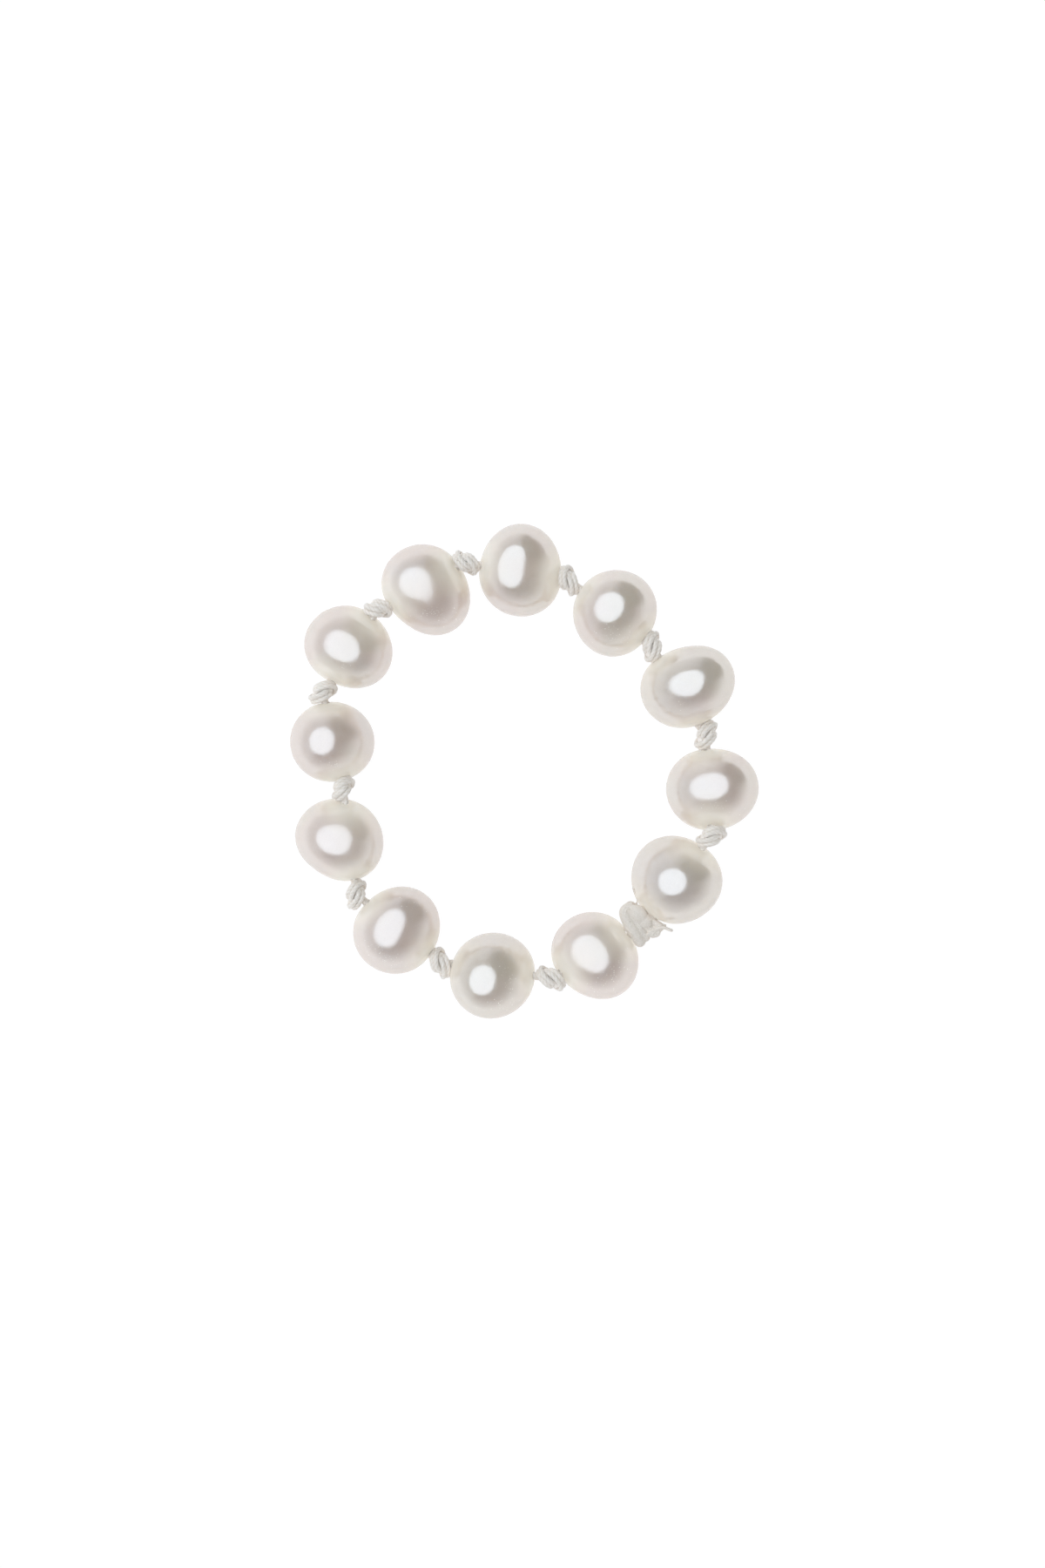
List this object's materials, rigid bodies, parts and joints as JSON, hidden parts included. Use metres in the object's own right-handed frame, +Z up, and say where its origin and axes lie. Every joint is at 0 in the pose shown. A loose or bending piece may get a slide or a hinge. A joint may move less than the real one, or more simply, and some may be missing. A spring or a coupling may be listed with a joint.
{
  "type": "pearl stacking ring",
  "caption": "Slim finger ring of off-round freshwater pearls, strung on a silk thread that is knotted between them and closed by a larger glued knot.",
  "frame": {"origin": "middle of the ring's outline, on the surface that the pearls rest on", "axes": "+Z up, along the finger hole; +Y towards pearl_01; the thread runs clockwise seen from +Z"},
  "size_m": [0.0256, 0.027, 0.0048],
  "materials": {
    "pearl": "lustrous nacre, warm white with a faint pink and green orient",
    "silk": "twisted silk, off-white with a soft sheen"
  },
  "bodies": {
    "root": {"pearl_01": "pearl", "pearl_02": "pearl", "pearl_03": "pearl", "pearl_04": "pearl", "pearl_05": "pearl", "pearl_06": "pearl", "pearl_07": "pearl", "pearl_08": "pearl", "pearl_09": "pearl", "pearl_10": "pearl", "pearl_11": "pearl", "pearl_12": "pearl", "silk_thread": "silk"}
  },
  "joints": []
}
